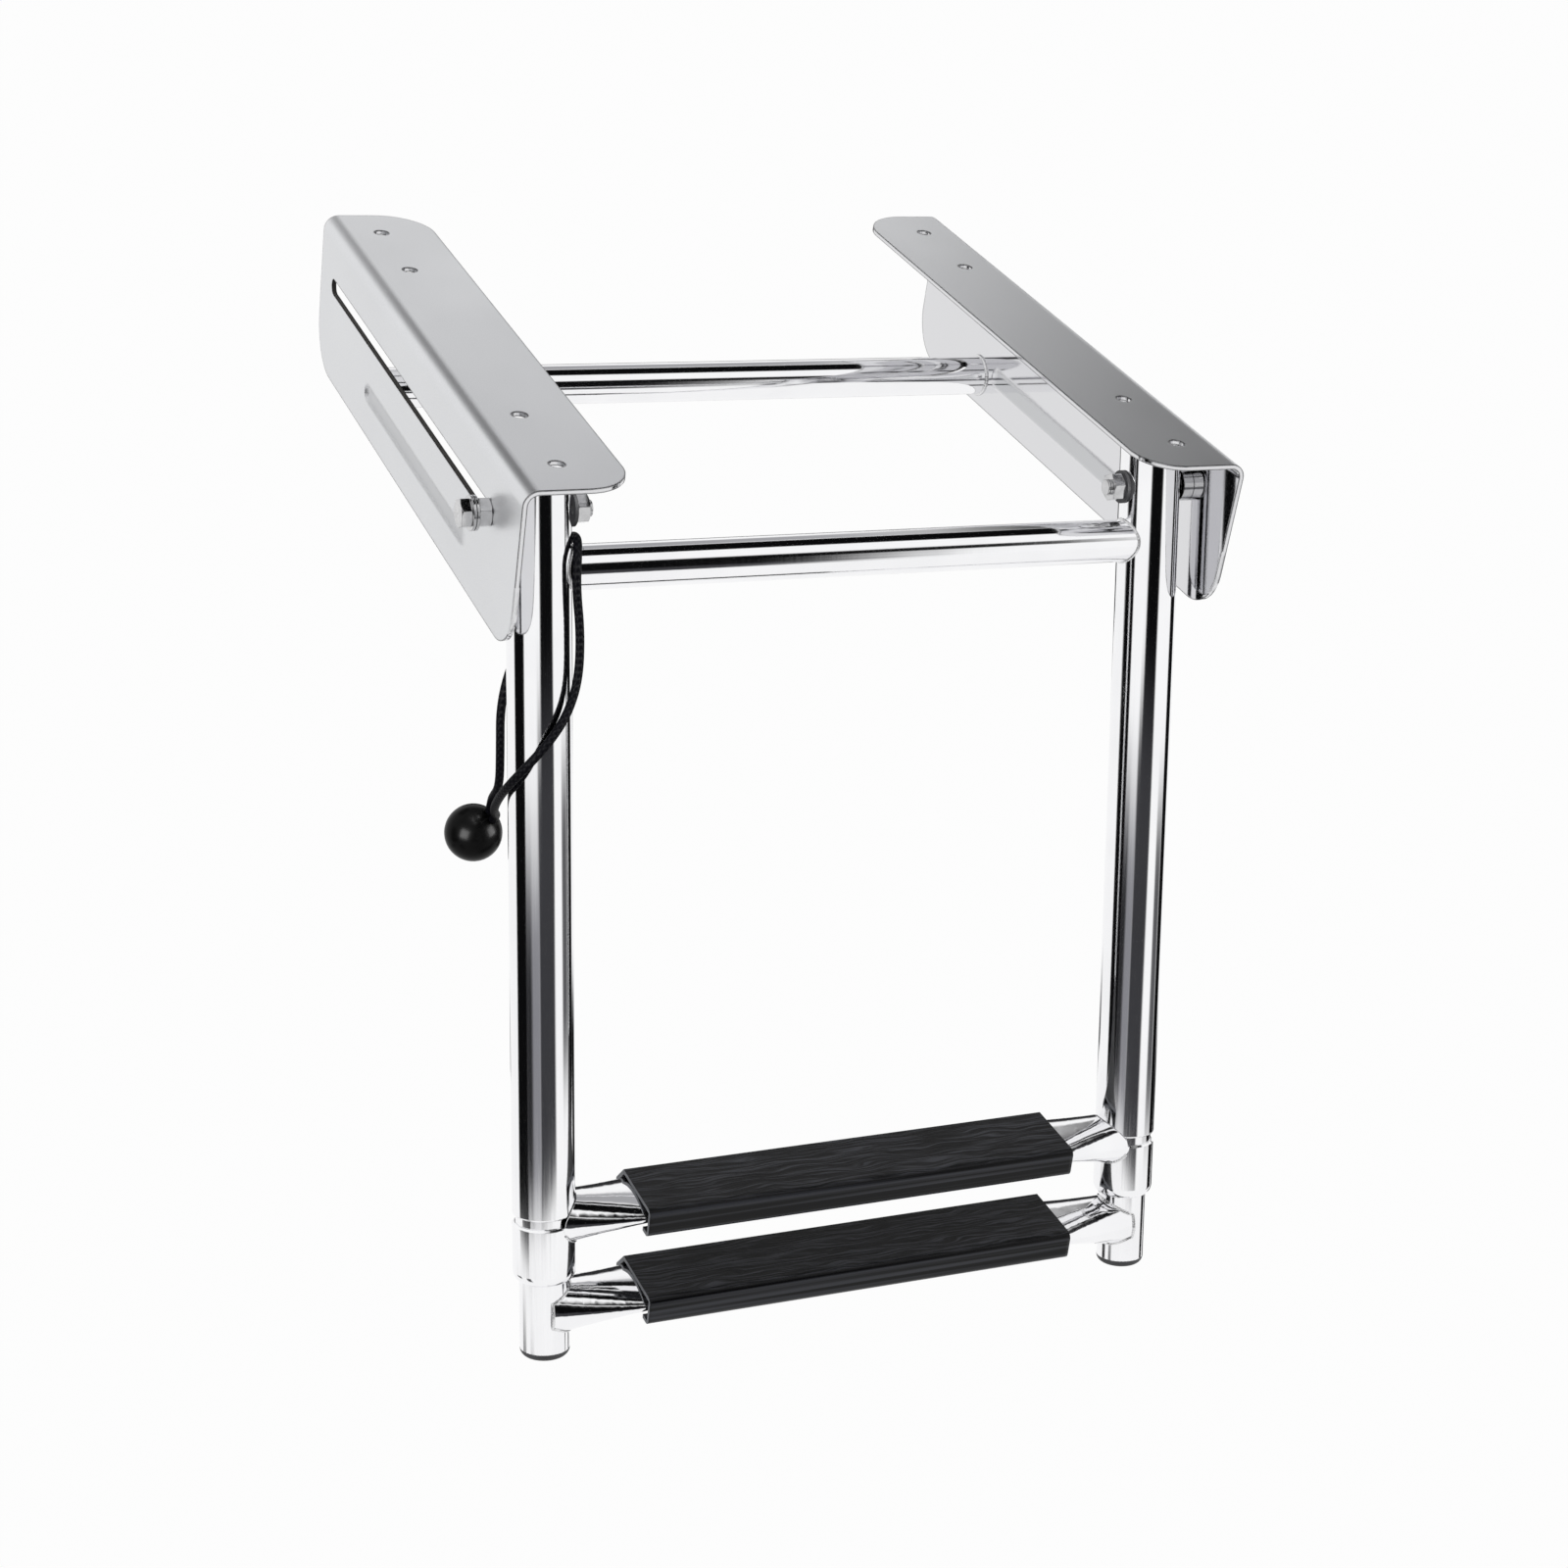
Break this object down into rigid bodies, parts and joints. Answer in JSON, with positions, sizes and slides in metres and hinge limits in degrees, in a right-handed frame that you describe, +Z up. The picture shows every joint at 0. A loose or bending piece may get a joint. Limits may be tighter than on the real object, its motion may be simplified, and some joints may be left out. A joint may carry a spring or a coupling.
{
  "type": "folding boat ladder",
  "caption": "Under-platform boarding ladder with telescoping legs and black treads that folds up and slides back between two slotted flange brackets.",
  "frame": {"origin": "in the plane of the two flanges' top faces, at the middle of the screw-hole pattern", "axes": "+X across the ladder to the user's right when facing the boat, +Y from the user towards the boat along the slots, +Z up"},
  "size_m": [0.412, 0.4738, 0.4416],
  "materials": {
    "satin_steel": "satin brushed stainless steel",
    "polished_steel": "mirror polished stainless steel",
    "fastener_steel": "bright stainless steel",
    "black_tread": "grained black plastic",
    "black_rubber": "matte black rubber",
    "black_ball": "glossy black plastic",
    "black_cord": "woven black elastic cord"
  },
  "bodies": {
    "brackets": {"left_bracket": "satin_steel", "right_bracket": "satin_steel", "rear_crossbar": "polished_steel"},
    "pivot_bolts": {"left_pivot_bolt": "fastener_steel", "left_outer_washers": "fastener_steel", "left_clamp_nut": "fastener_steel", "left_spacer_ring": "fastener_steel", "left_nylon_washer": "black_rubber", "left_end_nut": "fastener_steel", "right_pivot_bolt": "fastener_steel", "right_outer_washers": "fastener_steel", "right_clamp_nut": "fastener_steel", "right_spacer_ring": "fastener_steel", "right_nylon_washer": "black_rubber", "right_end_nut": "fastener_steel"},
    "upper_frame": {"left_upper_leg": "polished_steel", "right_upper_leg": "polished_steel", "left_top_plug": "black_rubber", "right_top_plug": "black_rubber", "front_crossbar": "polished_steel", "retaining_ball": "black_ball", "retaining_cord": "black_cord"},
    "middle_stage": {"left_middle_tube": "polished_steel", "right_middle_tube": "polished_steel", "left_collar": "polished_steel", "right_collar": "polished_steel", "upper_step_tube": "polished_steel", "upper_tread": "black_tread"},
    "lower_stage": {"left_lower_tube": "polished_steel", "right_lower_tube": "polished_steel", "left_foot_cap": "black_rubber", "right_foot_cap": "black_rubber", "lower_step_tube": "polished_steel", "lower_tread": "black_tread"}
  },
  "joints": [
    {"name": "slide_back", "type": "slide", "parent": "brackets", "child": "pivot_bolts", "axis": [0, 1, 0], "range_m": [0, 0.296]},
    {"name": "fold_up", "type": "hinge", "parent": "pivot_bolts", "child": "upper_frame", "pos_m": [0, -0.139, -0.0315], "axis": [-1, 0, 0], "range_deg": [0, 72]},
    {"name": "middle_slide", "type": "slide", "parent": "upper_frame", "child": "middle_stage", "axis": [0, -0.309, -0.9511], "range_m": [0, 0.26]},
    {"name": "lower_slide", "type": "slide", "parent": "middle_stage", "child": "lower_stage", "axis": [0, -0.309, -0.9511], "range_m": [0, 0.26]}
  ],
  "couplings": [
    {"joint": "slide_back", "follows": "fold_up", "m_per_rad": 0.23555}
  ]
}
